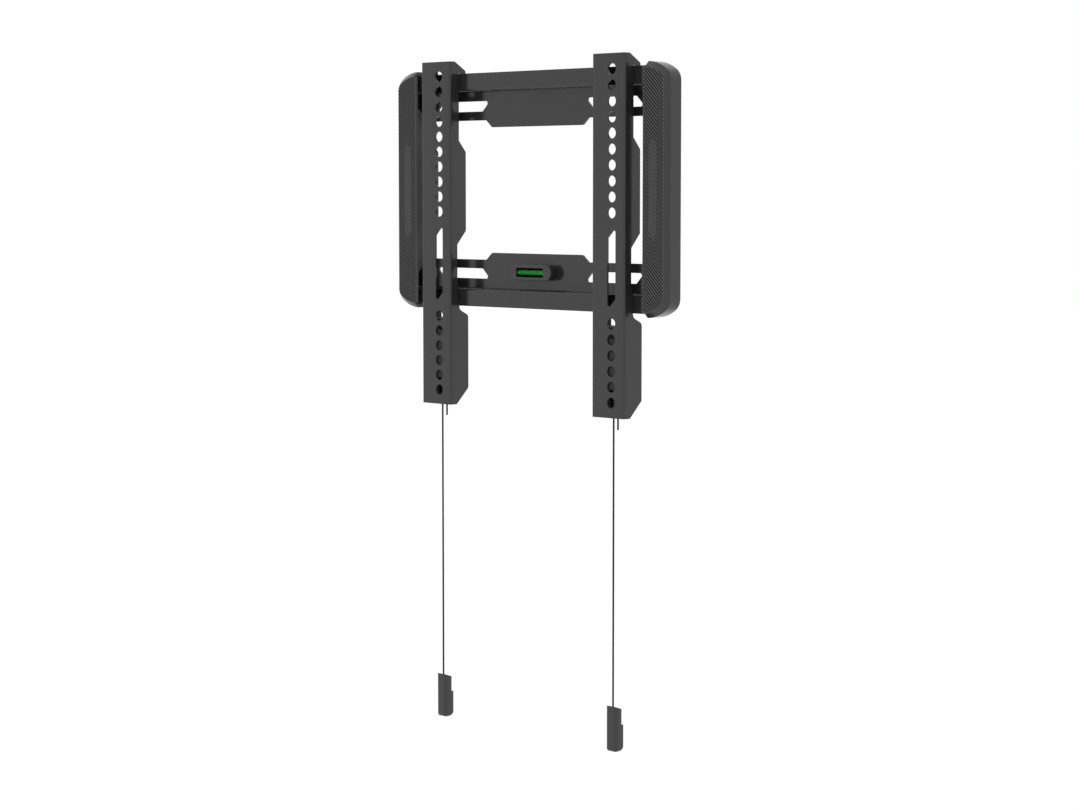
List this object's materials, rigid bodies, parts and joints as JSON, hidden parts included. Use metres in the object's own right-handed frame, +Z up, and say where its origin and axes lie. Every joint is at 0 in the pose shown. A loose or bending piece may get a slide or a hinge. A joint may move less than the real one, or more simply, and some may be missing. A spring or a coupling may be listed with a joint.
{
  "type": "fixed tv wall bracket",
  "caption": "Slim wall bracket: two folded rails with end covers and a level carry hooked arms that slide sideways and lock with spring latches on pull cords.",
  "frame": {"origin": "middle of the wall plate, on the wall", "axes": "+X to the right as seen from the room, +Y into the wall, +Z up"},
  "size_m": [0.3124, 0.0219, 0.5559],
  "materials": {
    "coated_steel": "fine matt powder coat, near black",
    "moulded_plastic": "matt moulded, near black",
    "screw_steel": "black zinc",
    "spring_steel": "bare spring steel",
    "clear_tube": "clear gloss",
    "green_fluid": "clear green liquid",
    "cord": "black braided cord"
  },
  "bodies": {
    "wall_plate": {"upper_rail": "coated_steel", "lower_rail": "coated_steel", "left_cover": "moulded_plastic", "right_cover": "moulded_plastic", "left_cover_screws": "screw_steel", "right_cover_screws": "screw_steel", "level_housing": "moulded_plastic", "level_vial": "clear_tube", "level_plug": "moulded_plastic", "level_fluid": "green_fluid"},
    "left_arm_unit": {"left_arm": "coated_steel", "left_latch_housing": "moulded_plastic", "left_latch_back_plate": "coated_steel", "left_latch_screws": "screw_steel", "left_latch_spring": "spring_steel"},
    "left_latch_unit": {"left_latch_slider": "moulded_plastic", "left_cord_pin": "screw_steel", "left_cord": "cord", "left_cord_tail": "cord", "left_pull_handle": "moulded_plastic"},
    "right_arm_unit": {"right_arm": "coated_steel", "right_latch_housing": "moulded_plastic", "right_latch_back_plate": "coated_steel", "right_latch_screws": "screw_steel", "right_latch_spring": "spring_steel"},
    "right_latch_unit": {"right_latch_slider": "moulded_plastic", "right_cord_pin": "screw_steel", "right_cord": "cord", "right_cord_tail": "cord", "right_pull_handle": "moulded_plastic"}
  },
  "joints": [
    {"name": "left_arm_slide", "type": "slide", "parent": "wall_plate", "child": "left_arm_unit", "axis": [1, 0, 0], "range_m": [-0.012, 0.075]},
    {"name": "left_latch_pull", "type": "slide", "parent": "left_arm_unit", "child": "left_latch_unit", "axis": [0, 0, -1], "range_m": [0, 0.0087], "stiffness_N_per_m": 600, "springref_m": -0.01, "deforming": ["left_latch_spring"]},
    {"name": "right_arm_slide", "type": "slide", "parent": "wall_plate", "child": "right_arm_unit", "axis": [-1, 0, 0], "range_m": [-0.012, 0.075]},
    {"name": "right_latch_pull", "type": "slide", "parent": "right_arm_unit", "child": "right_latch_unit", "axis": [0, 0, -1], "range_m": [0, 0.0087], "stiffness_N_per_m": 600, "springref_m": -0.01, "deforming": ["right_latch_spring"]}
  ]
}
